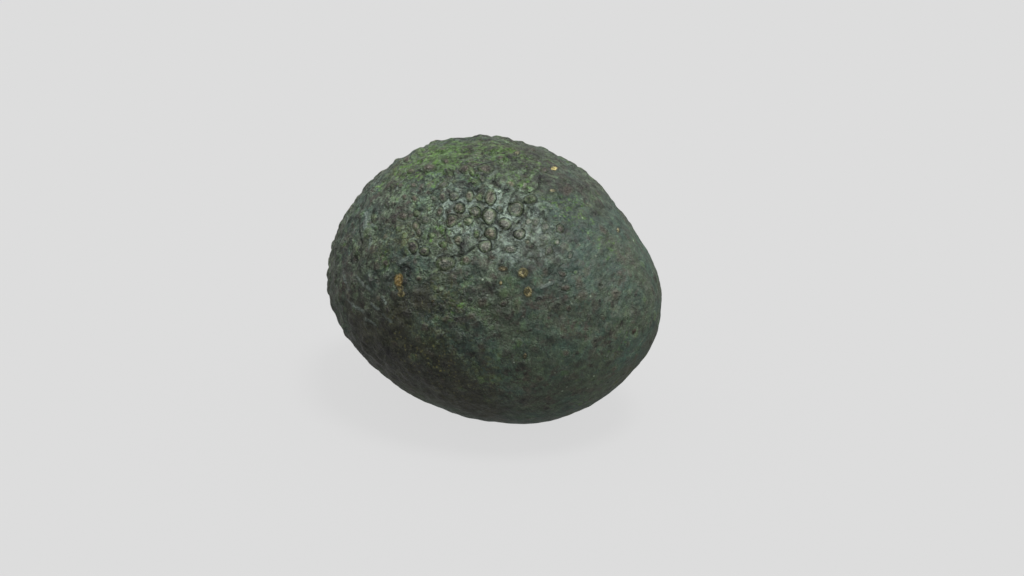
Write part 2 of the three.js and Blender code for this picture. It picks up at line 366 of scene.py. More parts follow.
def photo_point(x, y):
    """The point of the smooth fruit that a pixel of the photograph shows, and its direction."""
    right, up, back = camera_frame()
    focal = LENS / SENSOR * IMAGE_WIDTH
    ray = unit(right * (x - IMAGE_WIDTH / 2) - up * (y - IMAGE_HEIGHT / 2) - back * focal)
    eye = camera_place()
    reach = DISTANCE - HALF_LENGTH
    for _ in range(RAY_ROUNDS):
        there = eye + ray * reach
        dirs = unit(there / np.array([HALF_LENGTH, HALF_WIDTH, HALF_HEIGHT]))
        for _ in range(4):  # the direction whose surface point lies in line with there
            dirs = unit(dirs + unit(there) - unit(smooth_point(dirs)))
        gap = np.linalg.norm(there) - np.linalg.norm(smooth_point(dirs))
        reach += gap * RAY_STRIDE
        if abs(gap) < RAY_MISS:
            break
    return smooth_point(dirs), dirs


# ---------------------------------------------------------------- nodules as patches on the surface


class Patches:
    """Round or oval patches of the surface: each one's centre, two half axes, normal and looks."""

    def __init__(self):
        self.rows = []

    def add(self, *row):
        self.rows.append(row)

    def add_pixel(self, x, y, half_width, half_height, looks):
        centre, dirs = photo_point(x, y)
        # a slanting surface hides some of a patch's length, so the half axes lie along it
        first = photo_point(x + half_width, y)[0] - centre
        second = photo_point(x, y - half_height)[0] - centre
        self.add(centre, first, second, outward(dirs[None])[0], looks)

    def columns(self):
        return [np.array(column) for column in zip(*self.rows)]

    def nearest(self, points):
        """The nearest patch to each point: how far its middle is, in its half axes, and its looks."""
        c, a, b, n, looks = self.columns()
        aa, bb, ab = (a * a).sum(1), (b * b).sum(1), (a * b).sum(1)
        det = (aa * bb - ab * ab)[:, None]
        across_a = (a * bb[:, None] - b * ab[:, None]) / det
        across_b = (b * aa[:, None] - a * ab[:, None]) / det
        across_n = n / np.sqrt(np.sqrt(det)) * OFF_SURFACE
        square = sum((points @ v.T - (c * v).sum(1)) ** 2 for v in (across_a, across_b, across_n))
        nearest = square.argmin(1)
        return np.sqrt(square[np.arange(len(points)), nearest]), looks[nearest]


def nodule_patches():
    """All nodules, with tone, share of that tone and darkness of the ring as each one's looks:
    the photograph's clear ones, then the solid's where they leave room."""
    patches = Patches()
    for tone, nodules in CLEAR_NODULES.items():
        for *place, ring in nodules:
            patches.add_pixel(*place, (*TONES[tone], CLEAR_STRENGTH, ring))
    for dot in DARK_DOTS:
        patches.add_pixel(*dot, (*TONES["dark"], DOT_STRENGTH, 0.0))
    taken, widths, heights = patches.columns()[:3]
    reach = np.sqrt(np.linalg.norm(widths, axis=1) * np.linalg.norm(heights, axis=1))
    random = draws(SEED + 1)
    dirs, sizes = scattered_nodules()
    centres = smooth_point(dirs)
    firsts, seconds = tangents(dirs)
    normals = outward(dirs)
    behind = (photo_point(*CLUSTER)[0] - centres) @ camera_frame()[2]
    patchy = noise_at(centres, PATCHINESS, (3.3, 1.2, 6.1))
    for i in range(NODULES):
        kind, long, strong = next(random), next(random), next(random)
        if np.linalg.norm(centres[i] - STEM_CENTRE) < STEM_REACH - NODULE_RADIUS:
            continue
        if (np.linalg.norm(taken - centres[i], axis=1) < reach + CLEARANCE).any():
            continue
        radius = FAINT_SHARE * NODULE_RADIUS * sizes[i]
        stretch = 1 + STRETCH * (long - 0.5)
        normal = normals[i]
        first, second = (unit(np.cross(np.cross(normal, t[i]), normal)) for t in (firsts, seconds))
        # the nodules are faint, but for some groups of them on the sides that the photograph hides
        clear = smoothstep(*CLUSTER_BEHIND, behind[i]) * smoothstep(-PATCHY_EDGE, PATCHY_EDGE, patchy[i])
        share_and_ring = (FAINT_LOOKS + clear * GROUPED_LOOKS) @ (1, strong)
        looks = (*TONES[FAINT_TONES[int(kind * len(FAINT_TONES))]], *share_and_ring)
        patches.add(centres[i], first * radius * stretch, second * radius / stretch, normal, looks)
    return patches


def gold_patches():
    """The golden spots, with their tone as their looks."""
    patches = Patches()
    for *place, tone in GOLD_SPOTS:
        patches.add_pixel(*place, GOLD_TONES[tone])
    for around, above, half_width, half_height, tone in HIDDEN_GOLD:
        dirs = direction(around, above)[None]
        first, second = (t[0] for t in tangents(dirs))
        axes = first * half_width, second * half_height
        patches.add(smooth_point(dirs)[0], *axes, outward(dirs)[0], GOLD_TONES[tone])
    return patches


def line_field(points, runs):
    """How far each point is from the nearest run of pixels, in that run's widths."""
    field = np.full(len(points), FAR)
    for width, run in ((width, run) for width, group in runs.items() for run in group):
        places = [photo_point(x, y)[0] for x, y in run]
        for start, end in zip(places, places[1:]):
            along = end - start
            share = np.clip((points - start) @ along / (along @ along), 0, 1)
            square = ((points - start - share[:, None] * along) ** 2).sum(1)
            field = np.minimum(field, np.sqrt(square) / width)
    return field


# ---------------------------------------------------------------- the rind's mesh

GRID = 126  # squares along each side of the six faces of the cube that the rind is blown from
MAP_GAP = 0.004  # between the six faces on the map that the materials are baked to
CHUNK = 8000  # how many points are worked out at a time
BASE_RISE = 0.34  # the fine rind's ground over the smooth fruit, as its nodules are lower than the solid's
SWELL_KEPT = 0.34  # the solid's nodules, as a share of their height there
SWELL_CALMED = 0.66  # how much of that the calm skin takes away
SWELL_SHIFT = -5.0  # it grows calm this much nearer the stem end than the fine tops do
LIVELY_SHIFT = 9.0  # the rind's colours grow calm this much nearer the blossom end than its relief does
# The fine nodule tops: where a top's edge starts, how domed it is, its height, what a dark ring adds to
# that, and how much of it the calm skin takes away.
TOP_EDGE, TOP_CROWN, TOP_RISE, RING_RISE, TOP_CALMED = 0.6, 0.25, 0.14, 0.22, 0.8
UNDERSIDE = (4.0, 22.0)  # from where to where, below the centre, the nodules grow lower
UNDERSIDE_LOWERED = 0.4
RIDGE_HEIGHT, CREASE_DEPTH = 0.14, 0.18
# Low swells of the ground between the nodules: length, height, the shift of their noise, the share kept on
# the flat spot, and the share that the calm skin takes away.
GROUND = (
    (1.7, 0.18, (1.3, 8.1, 4.2), 0.3, 0.5),
    (4.2, 0.3, (2.9, 6.3, 1.8), 0.0, 0.6),
    (9.0, 0.35, (5.1, 2.2, 9.7), 0.0, 0.0),
)
WOBBLE_LENGTH, WOBBLE = 2.6, 0.5  # how the nodules' outlines stray from round
# How far along the fruit, towards each end, its streaks turn from along it to round it.
BLOSSOM_TURN, STEM_TURN = (14.0, 34.0), (-8.0, -24.0)
ROUND_REACH = 5.5
ALONG_REACH = 0.28  # how much shorter the fruit is to the noise that is drawn out along it
POLE_GAP = 0.05  # keeps drawn-out noise from bunching up at the two ends
FOLD_TURNS = 2.6  # how close together the folds round the stem are
FOLD_CHANGE = 0.12  # how fast they change as they run out
FOLD_START, FOLD_END = (3.6, 5.6), (15.0, 7.5)  # distances from the stem over which they rise and die away
FOLD_HEIGHT = 0.55
STREAK_LENGTH, STREAK_HEIGHT = 1.5, 0.34
LUMP_LENGTH, LUMP_HEIGHT = 1.9, 0.36
# The dimple round the stem button, and the blossom's pit: distances from the middle, and heights there.
DIMPLE_RINGS, DIMPLE_HEIGHTS = (0, 3.8, 4.9, 6.4, 8.4, STEM_REACH), (-2.4, -2.4, -2.3, -1.6, -0.6, 0)
PIT_RINGS, PIT_HEIGHTS = (0, 0.9, BLOSSOM_REACH), (0.1, -0.35, 0)
GOLD_FAR, END_FAR = 6, 40  # the most that the fields of gold and of the two ends say, in half axes and mm


def cube_sphere(n):
    """Directions on a sphere, quads over them, and each corner's place on its face of the cube."""
    line = np.tan(np.linspace(-1, 1, n + 1) * math.pi / 4)
    u, v = np.meshgrid(line, line, indexing="ij")
    one = np.ones_like(u)
    sides = (one, u, v), (-one, -u, v), (-u, one, v), (u, -one, v), (-v, u, one), (v, u, -one)
    dirs = unit(np.concatenate([np.stack(s, -1).reshape(-1, 3) for s in sides]))
    _, first, inverse = np.unique(np.round(dirs, 5), axis=0, return_index=True, return_inverse=True)
    i, j = np.meshgrid(np.arange(n), np.arange(n), indexing="ij")
    corner = (i * (n + 1) + j).reshape(-1)
    square = np.stack([corner, corner + n + 1, corner + n + 2, corner + 1], -1)
    quads = np.concatenate([square + s * (n + 1) ** 2 for s in range(6)])
    place = np.stack(np.meshgrid(np.arange(n + 1), np.arange(n + 1), indexing="ij"), -1).reshape(-1, 2) / n
    size = np.array([1 / 3, 1 / 2])
    maps = [np.array([s % 3, s // 3]) * size + MAP_GAP + place * (size - 2 * MAP_GAP) for s in range(6)]
    return dirs[first], inverse.reshape(-1)[quads], np.concatenate(maps)[quads.reshape(-1)]


def dome(away, top, crown):
    return (1 - crown * away**2) * (1 - smoothstep(top, 1, away))


def stem_folds(points, distance):
    """Shallow folds of the skin that run out from the stem button."""
    first, second = (t[0] for t in tangents(STEM_AXIS[None]))
    out = (points - STEM_CENTRE) / np.maximum(distance, 0.5)[:, None] * FOLD_TURNS
    places = np.stack([out @ first, out @ second, distance * FOLD_CHANGE], -1)
    kept = smoothstep(*FOLD_START, distance) * smoothstep(*FOLD_END, distance)
    field = np.zeros(len(points))
    near = kept > 0
    field[near] = noise_at(places[near], 1.0, (4.4, 9.2, 2.7)) * kept[near]
    return FOLD_HEIGHT * field


def calm(points, shift=0.0):
    """How smooth the skin is, as in the solid: 1 at the blossom end and underneath."""
    end = smoothstep(*CALM_ALONG, points[:, 0] - shift)
    under = smoothstep(*CALM_BELOW, -points[:, 2])
    return np.maximum(end, under)


def rest_fade(points):
    """0 on the flat spot, 1 away from it."""
    away = np.hypot(*(points - REST_POINT)[:, :2].T)
    return np.where(points[:, 2] > 0, 1, smoothstep(REST_RADIUS, REST_RADIUS + REST_FADE, away))


def nearest_nodules(points, wavy):
    """At each point, the solid's nodules as heights, and the nearest nodule and golden spot."""
    dirs, sizes = scattered_nodules()
    centres = smooth_point(dirs)
    keep = np.linalg.norm(centres - STEM_CENTRE, axis=1) > STEM_REACH - NODULE_RADIUS
    centres, sizes = centres[keep], sizes[keep]
    nodules, gold = nodule_patches(), gold_patches()
    found = [], [], [], [], []
    for start in range(0, len(points), CHUNK):
        part = slice(start, start + CHUNK)
        here = wavy[part]
        square = ((here**2).sum(1)[:, None] + (centres**2).sum(1) - 2 * here @ centres.T).clip(0)
        away = np.sqrt(square) / (NODULE_RADIUS * sizes)
        swell = (sizes * dome(away, NODULE_TOP, NODULE_CROWN)).max(1) * NODULE_RISE
        for kept, values in zip(found, (swell, *nodules.nearest(here), *gold.nearest(points[part]))):
            kept.append(values)
    return (np.concatenate(kept) for kept in found)


def relief(points, wavy, free, calmness):
    """Heights over the smooth fruit, and the fields of them that the rind's material reads."""
    swell, near, looks, gold_near, gold_tone = nearest_nodules(points, wavy)
    top = dome(near, TOP_EDGE, TOP_CROWN) * (TOP_RISE + RING_RISE * looks[:, 4]) * (1 - TOP_CALMED * calmness)
    swell *= SWELL_KEPT * (1 - SWELL_CALMED * calm(points, SWELL_SHIFT))
    under = smoothstep(*UNDERSIDE, -points[:, 2])
    height = BASE_RISE + (swell + top) * (1 - UNDERSIDE_LOWERED * under)
    crease, ridge = line_field(points, CREASES), line_field(points, RIDGES)
    height += RIDGE_HEIGHT * np.exp(-(ridge**2)) - CREASE_DEPTH * np.exp(-(crease**2))
    from_stem, from_blossom = (np.linalg.norm(points - c, axis=1) for c in (STEM_CENTRE, BLOSSOM_CENTRE))
    height *= free * smoothstep(STEM_REACH - NODULE_RADIUS, STEM_REACH + NODULE_RADIUS, from_stem)
    height += np.interp(from_stem, DIMPLE_RINGS, DIMPLE_HEIGHTS) + stem_folds(points, from_stem)
    height += np.interp(from_blossom, PIT_RINGS, PIT_HEIGHTS)
    return height, {
        "nodule": near,
        "nodule_tone": looks[:, :3],
        "nodule_share": looks[:, 3],
        "nodule_ring": looks[:, 4],
        "gold": np.minimum(gold_near, GOLD_FAR),
        "gold_tone": gold_tone,
        "crease": crease,
        "ridge": ridge,
        "from_stem": np.minimum(from_stem, END_FAR),
        "from_blossom": np.minimum(from_blossom, END_FAR),
        "lively": 1 - calm(points, LIVELY_SHIFT),
    }


# Patches of colour, some of them painted sheen, painted shade and painted light: x, y, reach in mm and
# strength of each.
ZONES = {
    "green": (
        (447, 152, 8, 1), (420, 160, 7, 0.7), (478, 148, 8, 0.6), (500, 146, 6, 0.5), (432, 168, 5, 0.8),
        (447, 230, 4, 0.55), (478, 205, 2.5, 0.5), (525, 185, 2.5, 0.7), (607, 246, 5.5, 0.35),
        (395, 175, 6, 0.5), (458, 302, 5, 0.35), (437, 182, 3.5, 0.7), (476, 180, 3.5, 0.6),
        (382, 186, 5, 0.4), (372, 225, 3, 0.4), (387, 262, 3, 0.5), (474, 224, 2.5, 0.5),
        (620, 350, 9, 0.25), (583, 403, 6, 0.35), (420, 215, 5, 0.3), (520, 350, 8, 0.2),
        (460, 158, 7, 0.75), (502, 154, 8, 0.7), (530, 162, 7, 0.5), (515, 176, 6, 0.5),
        (575, 212, 8, 0.45), (410, 172, 6, 0.7), (552, 205, 6, 0.4), (445, 164, 6, 1), (435, 235, 3, 0.45),
        (545, 232, 6, 0.3), (350, 240, 6, 0.3),
    ),
    # darker low on the fruit: partly ripening, partly painted shade
    "ripe_and_painted_shade": (
        (395, 360, 17, 1), (440, 385, 15, 1), (365, 330, 11, 1), (475, 405, 12, 1), (420, 300, 5, 0.8),
        (402, 312, 6, 0.9), (502, 310, 4.5, 0.4), (455, 330, 8, 0.5),
    ),
    "purple": (
        (566, 188, 8, 0.5), (548, 168, 8, 0.6), (350, 250, 7, 0.7), (376, 198, 3, 0.9), (398, 215, 5, 0.7),
        (350, 290, 7, 0.8), (430, 190, 4, 0.6), (470, 165, 6, 0.7), (512, 312, 5, 0.45), (455, 292, 5, 0.5),
        (545, 296, 7, 0.5), (575, 320, 9, 0.4), (540, 380, 8, 0.4), (600, 340, 8, 0.4), (520, 380, 7, 0.5),
    ),
    "teal": (
        (596, 254, 10, 0.5), (410, 185, 5, 0.9), (367, 227, 3, 1), (400, 262, 6, 0.9), (372, 280, 6, 0.9),
        (480, 345, 6, 0.8), (540, 210, 6, 0.8), (585, 330, 14, 0.8), (560, 250, 8, 0.8), (425, 265, 4, 0.9),
    ),
    # painted sheen: where the light's broad reflection is painted in as bluish grey
    "painted_sheen": (
        (498, 215, 8, 1), (470, 235, 6, 1), (515, 245, 6, 1), (455, 205, 6, 0.9), (535, 213, 4, 1),
        (535, 235, 5, 1), (510, 230, 5, 1), (547, 252, 4, 0.7), (506, 256, 3.5, 1), (367, 228, 3, 0.8),
        (372, 285, 6, 0.35),
    ),
    # streaks: the rind's fibres, and on the left painted sheen
    "streaky": (
        (362, 290, 8, 1), (380, 318, 8, 1), (620, 320, 14, 0.8), (445, 395, 12, 0.7), (642, 285, 9, 0.9),
        (362, 240, 7, 1), (378, 212, 6, 0.9), (385, 275, 6, 0.6), (600, 230, 8, 0.5),
    ),
    # darker patches: partly the rind's darker tone, partly painted shade, such as a painted shadow above a
    # golden spot
    "dusky_and_painted_shade": (
        (562, 188, 10, 1), (548, 162, 9, 1), (592, 215, 8, 0.65), (570, 225, 6, 0.8), (522, 148, 6, 1),
        (548, 292, 7, 0.8), (445, 298, 6, 0.6), (480, 150, 8, 0.6), (404, 272, 3.2, 1.3),
        (600, 255, 7, 0.5), (545, 280, 10, 0.6), (622, 300, 9, 0.4), (374, 360, 8, 1), (392, 270, 2, 0.5),
        (512, 300, 6, 0.6), (395, 236, 5, 0.3), (564, 257, 3.5, 1.1), (494, 171, 3.2, 1.1),
        (503, 234, 2.4, 0.8), (499, 311, 3.5, 1.1), (481, 315, 3, 0.7), (441, 275, 3, 0.85),
        (544, 199, 3.4, 1.4), (531, 264, 3, 1.15), (508, 281, 3, 0.9), (541, 160, 3, 1.5),
        (422, 249, 2.6, 0.6), (443, 291, 3.2, 1), (484, 169, 5, 0.9), (608, 267, 4, 0.6),
        (393, 177, 3.5, 0.6), (411, 287, 2.6, 0.6), (585, 265, 6, 0.5), (550, 235, 2.8, 0.75),
        (459, 267, 2.4, 0.7), (490, 201, 2.4, 0.6),
    ),
    # lighter patches: partly the rind's paler tone, partly painted light, such as painted highlights and
    # painted light from below at the lower right
    "fair_and_painted_light": (
        (603, 372, 11, 1.7), (560, 392, 9, 1), (395, 205, 7, 0.6), (622, 348, 10, 1.5), (455, 240, 7, 0.6),
        (515, 385, 9, 1), (478, 270, 5, 1), (545, 362, 9, 0.9), (480, 212, 9, 1.1), (505, 200, 5, 0.6),
        (450, 212, 8, 0.8), (500, 240, 7, 0.9), (452, 246, 7, 0.9), (501, 260, 3.2, 2.1),
        (463, 240, 2.8, 1.9), (478, 263, 3.2, 2), (423, 265, 3.2, 1.3), (425, 193, 3.2, 1.4),
        (460, 217, 2.8, 1.8), (474, 185, 3.2, 1.8), (438, 223, 3, 1.6), (520, 226, 2.8, 1.6),
        (538, 212, 2.8, 1.3), (560, 311, 3, 0.9), (422, 206, 2.8, 1), (524, 246, 3.6, 1.9),
        (382, 223, 3, 0.8), (367, 282, 3.2, 0.8), (399, 326, 3.6, 0.8), (480, 216, 2.4, 1.7),
        (620, 366, 7, 1.9),
    ),
    "olive": (
        (598, 402, 7, 1), (622, 378, 5, 0.8), (430, 345, 8, 0.9), (405, 240, 5, 0.8), (575, 412, 5, 1),
        (440, 300, 7, 0.8), (400, 325, 8, 0.9), (385, 245, 5, 0.7), (480, 370, 8, 0.6), (470, 150, 9, 0.9),
        (505, 150, 8, 0.9), (430, 158, 8, 0.7), (395, 175, 7, 0.8), (372, 250, 5, 0.6),
    ),
    "specked": ((425, 352, 9, 1), (402, 335, 6, 0.6), (388, 374, 5, 0.5), (465, 385, 8, 0.3)),
    "soft": (
        (430, 312, 11, 0.4), (398, 212, 12, 0.3), (368, 235, 7, 1), (395, 262, 6, 0.9), (405, 225, 5, 0.7),
        (360, 275, 7, 0.8), (410, 285, 5, 0.8), (465, 300, 12, 0.65), (435, 330, 10, 0.6),
        (480, 330, 9, 0.55),
    ),
    "lumpy": (
        (530, 215, 9, 1), (555, 245, 8, 1), (515, 250, 7, 0.9), (505, 180, 8, 0.8), (575, 205, 8, 0.6),
    ),
}
# The same on the sides that the photograph hides: degrees round from +X, degrees above, reach, strength.
HIDDEN_ZONES = {
    "green": (
        (100, 62, 11, 1), (150, 72, 10, 0.9), (60, 55, 9, 0.6), (128, 28, 7, 0.8), (172, 40, 8, 0.7),
        (205, 25, 7, 0.6), (85, 15, 8, 0.5), (150, -8, 8, 0.5), (215, -15, 8, 0.5),
    ),
    # darker underneath: partly ripening, partly painted shade
    "ripe_and_painted_shade": (
        (110, -38, 15, 1), (150, -45, 14, 1), (75, -42, 12, 0.8), (192, -30, 10, 0.9), (175, 25, 5, 0.6),
        (240, -40, 14, 1),
    ),
    "purple": (
        (140, 45, 8, 0.8), (115, 10, 8, 0.7), (165, 15, 7, 0.7), (70, 30, 8, 0.6), (190, 32, 6, 0.7),
        (95, 40, 6, 0.7), (210, 5, 7, 0.8),
    ),
    "teal": ((135, 0, 9, 0.8), (100, 25, 8, 0.7), (60, 5, 12, 0.6), (160, 32, 6, 0.8)),
    # painted sheen on the hidden sides
    "painted_sheen": ((125, 42, 8, 0.9), (145, 25, 7, 0.8), (110, 52, 6, 0.7), (165, 52, 6, 0.6)),
    "streaky": ((210, -10, 8, 0.8), (90, -20, 8, 0.7)),
    "dusky_and_painted_shade": ((125, 8, 6, 0.7), (80, 25, 7, 0.6), (150, -25, 7, 0.6)),
    "fair_and_painted_light": ((150, 10, 7, 0.6), (105, 32, 7, 0.6)),
    "olive": ((175, -12, 9, 0.9), (120, -18, 8, 0.8), (95, 55, 6, 0.6), (60, -22, 8, 0.8)),
    "specked": ((110, -38, 9, 1), (150, -45, 8, 0.8), (240, -40, 9, 0.6)),
    "soft": ((95, 20, 8, 0.8), (180, 20, 7, 0.8)),
    "lumpy": ((130, 38, 10, 0.8), (105, 15, 8, 0.7), (168, 18, 8, 0.7)),
}


def drawn_out_places(dirs):
    """Places for noise that is drawn out along the fruit, and for noise that is drawn out round it."""
    bearing = dirs[:, 1:] / (np.hypot(dirs[:, 1], dirs[:, 2]) + POLE_GAP)[:, None]
    from_tip = np.arccos(np.clip(dirs[:, :1], -1, 1)) * HALF_LENGTH
    flow = np.concatenate([dirs[:, :1] * HALF_LENGTH * ALONG_REACH, bearing * HALF_WIDTH], 1)
    return flow, np.concatenate([from_tip, bearing * ROUND_REACH], 1)


def region(points, places):
    """A field as strong as the places' own strengths, which dies away over each one's reach."""
    field = np.zeros(len(points))
    for centre, reach, strength in places:
        field = np.maximum(field, strength * np.exp(-(((points - centre) ** 2).sum(1)) / reach**2))
    return field


def colour_fields(dirs, points):
    """The fields of the patches of colour, and the places and turn of the drawn-out noise."""
    turns = (smoothstep(*turn, points[:, 0]) for turn in (BLOSSOM_TURN, STEM_TURN))
    flow, rounded = drawn_out_places(dirs)
    fields = {"flow": flow, "round": rounded, "end": np.maximum(*turns)}
    for name, spots in ZONES.items():
        places = [(photo_point(x, y)[0], *rest) for x, y, *rest in spots]
        places += [(smooth_point(direction(a, e)), *rest) for a, e, *rest in HIDDEN_ZONES[name]]
        fields[name] = region(points, places)
    return fields


def make_piece(name, corners, faces, fields, material):
    """A smooth-shaded object, whose corners carry the fields that its material reads."""
    mesh = bpy.data.meshes.new(name)
    mesh.from_pydata((corners - REST_POINT) * MM, [], faces)
    mesh.polygons.foreach_set("use_smooth", np.ones(len(faces), bool))
    for field, values in fields.items():
        values = np.array(values, np.float32)
        kind, slot = ("FLOAT", "value") if values.ndim == 1 else ("FLOAT_VECTOR", "vector")
        mesh.attributes.new(field, kind, "POINT").data.foreach_set(slot, values.ravel())
    mesh.materials.append(material)
    mesh.update()
    piece = bpy.data.objects.new(name, mesh)
    bpy.context.collection.objects.link(piece)
    return piece


def make_rind(material):
    dirs, quads, uv = cube_sphere(GRID)
    points = smooth_point(dirs)
    free, calmness = rest_fade(points), calm(points)
    wobble = np.stack([noise_at(points, WOBBLE_LENGTH, (7.0 * k, 3.1, 0.4)) for k in range(3)], -1)
    height, fields = relief(points, points + WOBBLE * wobble, free, calmness)
    for length, rise, shift, kept, calmed in GROUND:
        swells = rise * noise_at(points, length, shift)
        height += swells * (kept + (1 - kept) * free) * (1 - calmed * calmness)
    fields |= colour_fields(dirs, points)
    streaks = noise_at(fields["round"], STREAK_LENGTH, (6.6, 1.9, 3.4)) * fields["streaky"] * free
    lumps = noise_at(points, LUMP_LENGTH, (0.7, 5.9, 8.8)) * fields["lumpy"]
    height += STREAK_HEIGHT * streaks + LUMP_HEIGHT * lumps
    skin = points + outward(dirs) * height[:, None]
    skin[:, 2] = np.maximum(skin[:, 2], REST_POINT[2])
    rind = make_piece("avocado_rind", skin, quads.tolist(), fields, material)
    rind.data.uv_layers.new(name="OFBake").data.foreach_set("uv", uv.astype(np.float32).ravel())
    return rind


# ---------------------------------------------------------------- the stem button

BUTTON_RADIUS = 3.5
BUTTON_SEGMENTS, BUTTON_RINGS = 72, 26
BUTTON_FOOT = -3.4  # sunk in the dimple's floor
ROUGH_TURNS, FIBRE_TURNS, GRIT_TURNS = 2.2, 7, 1.6  # how close together its roughness, fibres and grit are
ROUGH_WIDTH, FIBRE_WIDTH = 0.07, 0.025  # how far those move its outline, as shares of its radius
GRIT_RISE, FIBRE_RISE = 0.12, 0.1  # how far those move its face
# The button's half section: radius as a share of BUTTON_RADIUS, and height over the smooth fruit.
BUTTON_PROFILE = (
    (0, -0.95), (0.35, -0.75), (0.72, -0.2), (0.9, -0.3), (1.0, -0.75), (1.02, -1.6), (1.1, BUTTON_FOOT),
)


def make_button(material):
    radii, heights = np.array(BUTTON_PROFILE).T
    along = np.concatenate([[0], np.cumsum(np.hypot(np.diff(radii * BUTTON_RADIUS), np.diff(heights)))])
    rings = np.linspace(0, along[-1], BUTTON_RINGS)[1:]
    first, second = (t[0] for t in tangents(STEM_AXIS[None]))
    corners, across, rays = [STEM_CENTRE + STEM_AXIS * heights[0]], [0.0], [(0.0, 0.0, 0.0)]
    for ring in rings:
        radius = np.interp(ring, along, radii) * BUTTON_RADIUS
        height = np.interp(ring, along, heights)
        for k in range(BUTTON_SEGMENTS):
            angle = 2 * math.pi * k / BUTTON_SEGMENTS
            x, y = math.cos(angle), math.sin(angle)
            rough = noise.noise(Vector((x * ROUGH_TURNS, y * ROUGH_TURNS, 5)))
            fibre = noise.noise(Vector((x * FIBRE_TURNS, y * FIBRE_TURNS, radius * 0.4)))
            grit = noise.noise(Vector((x * radius, y * radius, height)) * GRIT_TURNS)
            wide = radius * (1 + ROUGH_WIDTH * rough + FIBRE_WIDTH * fibre)
            tall = height + (GRIT_RISE * grit + FIBRE_RISE * fibre) * min(1, radius)
            corners.append(STEM_CENTRE + STEM_AXIS * tall + (first * x + second * y) * wide)
            across.append((radius / BUTTON_RADIUS) ** 2)
            rays.append((x * BUTTON_RADIUS, y * BUTTON_RADIUS, radius * 0.3))
    around = range(BUTTON_SEGMENTS)
    faces = [(0, 1 + k, 1 + (k + 1) % BUTTON_SEGMENTS) for k in around]
    for low in range(1, 1 + (len(rings) - 1) * BUTTON_SEGMENTS, BUTTON_SEGMENTS):
        high = low + BUTTON_SEGMENTS
        for k in around:
            after = (k + 1) % BUTTON_SEGMENTS
            faces.append((low + k, high + k, high + after, low + after))
    faces.append(tuple(high + k for k in reversed(around)))
    return make_piece("stem_button", np.array(corners), faces, {"across": across, "rays": rays}, material)


# ---------------------------------------------------------------- materials


class Value:
    """What a node gives. Sums, products and steps of it are nodes too."""

    def __init__(self, graph, socket):
        self.graph, self.socket = graph, socket

    def __add__(self, other):
        return self.graph.math("ADD", self, other)

    def __sub__(self, other):
        return self.graph.math("SUBTRACT", self, other)

    def __rsub__(self, other):
        return self.graph.math("SUBTRACT", other, self)

    def __mul__(self, other):
        return self.graph.math("MULTIPLY", self, other)

    def swing(self, size):
        """A noise's swing about its middle, times size."""
        return (self - 0.5) * size

    def step(self, low, high, to_low=0, to_high=1):
        """A smooth change from to_low, where this is low, to to_high, where it is high."""
        inputs = {"Value": self, "From Min": low, "From Max": high, "To Min": to_low, "To Max": to_high}
        return self.graph.node("ShaderNodeMapRange", inputs, interpolation_type="SMOOTHSTEP")

    def band(self, out, start, end, gone):
        """1 from start to end, fading to 0 at out and at gone."""
        return self.step(out, start) * self.step(gone, end)

    def thin_line(self, width):
        """1 along the lines where a noise crosses its middle."""
        return self.graph.math("ABSOLUTE", self - 0.5).step(width, width * 0.25)


class Graph:
    """The nodes of a material or world, and the colour that its coats have built up so far."""

    def __init__(self, owner, shader="Principled BSDF"):
        self.owner = owner
        owner.use_nodes = True
        self.tree = owner.node_tree
        self.shader = self.tree.nodes[shader]

    @cached_property
    def place(self):
        """The place on the piece, in millimetres."""
        return self.vector("SCALE", self.node("ShaderNodeTexCoord", {}, "Object"), 1 / MM)

    def put(self, node, inputs):
        for name, value in inputs.items():
            socket = node.inputs[name]
            if isinstance(value, Value):
                self.tree.links.new(value.socket, socket)
            else:
                socket.default_value = (*value, 1) if socket.type == "RGBA" else value

    def node(self, kind, inputs, output=0, **settings):
        """Adds a node with these settings and inputs, and gives one of its outputs."""
        node = self.tree.nodes.new(kind)
        for name, value in settings.items():
            setattr(node, name, value)
        self.put(node, inputs)
        return Value(self, node.outputs[output])

    def shade(self, inputs):
        self.put(self.shader, inputs)

    def math(self, operation, *values):
        return self.node("ShaderNodeMath", dict(enumerate(values)), operation=operation)

    def vector(self, operation, a, b):
        second = "Scale" if operation == "SCALE" else 1
        return self.node("ShaderNodeVectorMath", {0: a, second: b}, "Vector", operation=operation)

    def noise(self, scale, detail=3, roughness=0.55, at=None, output="Fac"):
        inputs = {"Vector": at or self.place, "Scale": scale, "Detail": detail, "Roughness": roughness}
        return self.node("ShaderNodeTexNoise", inputs, output)

    def voronoi(self, scale, output="Distance", feature="F1", at=None):
        inputs = {"Vector": at or self.place, "Scale": scale}
        return self.node("ShaderNodeTexVoronoi", inputs, output, feature=feature)

    def attribute(self, name, output="Fac"):
        return self.node("ShaderNodeAttribute", {}, output, attribute_name=name)

    def coat(self, colour, share, blend="MIX"):
        """Lays a colour over what is there, as thickly as share says."""
        inputs = {0: share, 6: self.colour, 7: colour}
        self.colour = self.node("ShaderNodeMix", inputs, 2, data_type="RGBA", blend_type=blend)

    def finish(self, roughness, height):
        normal = self.node("ShaderNodeBump", {"Distance": MM, "Height": height}, "Normal")
        self.shade({"Base Color": self.colour, "Roughness": roughness, "Normal": normal})
        return self.owner


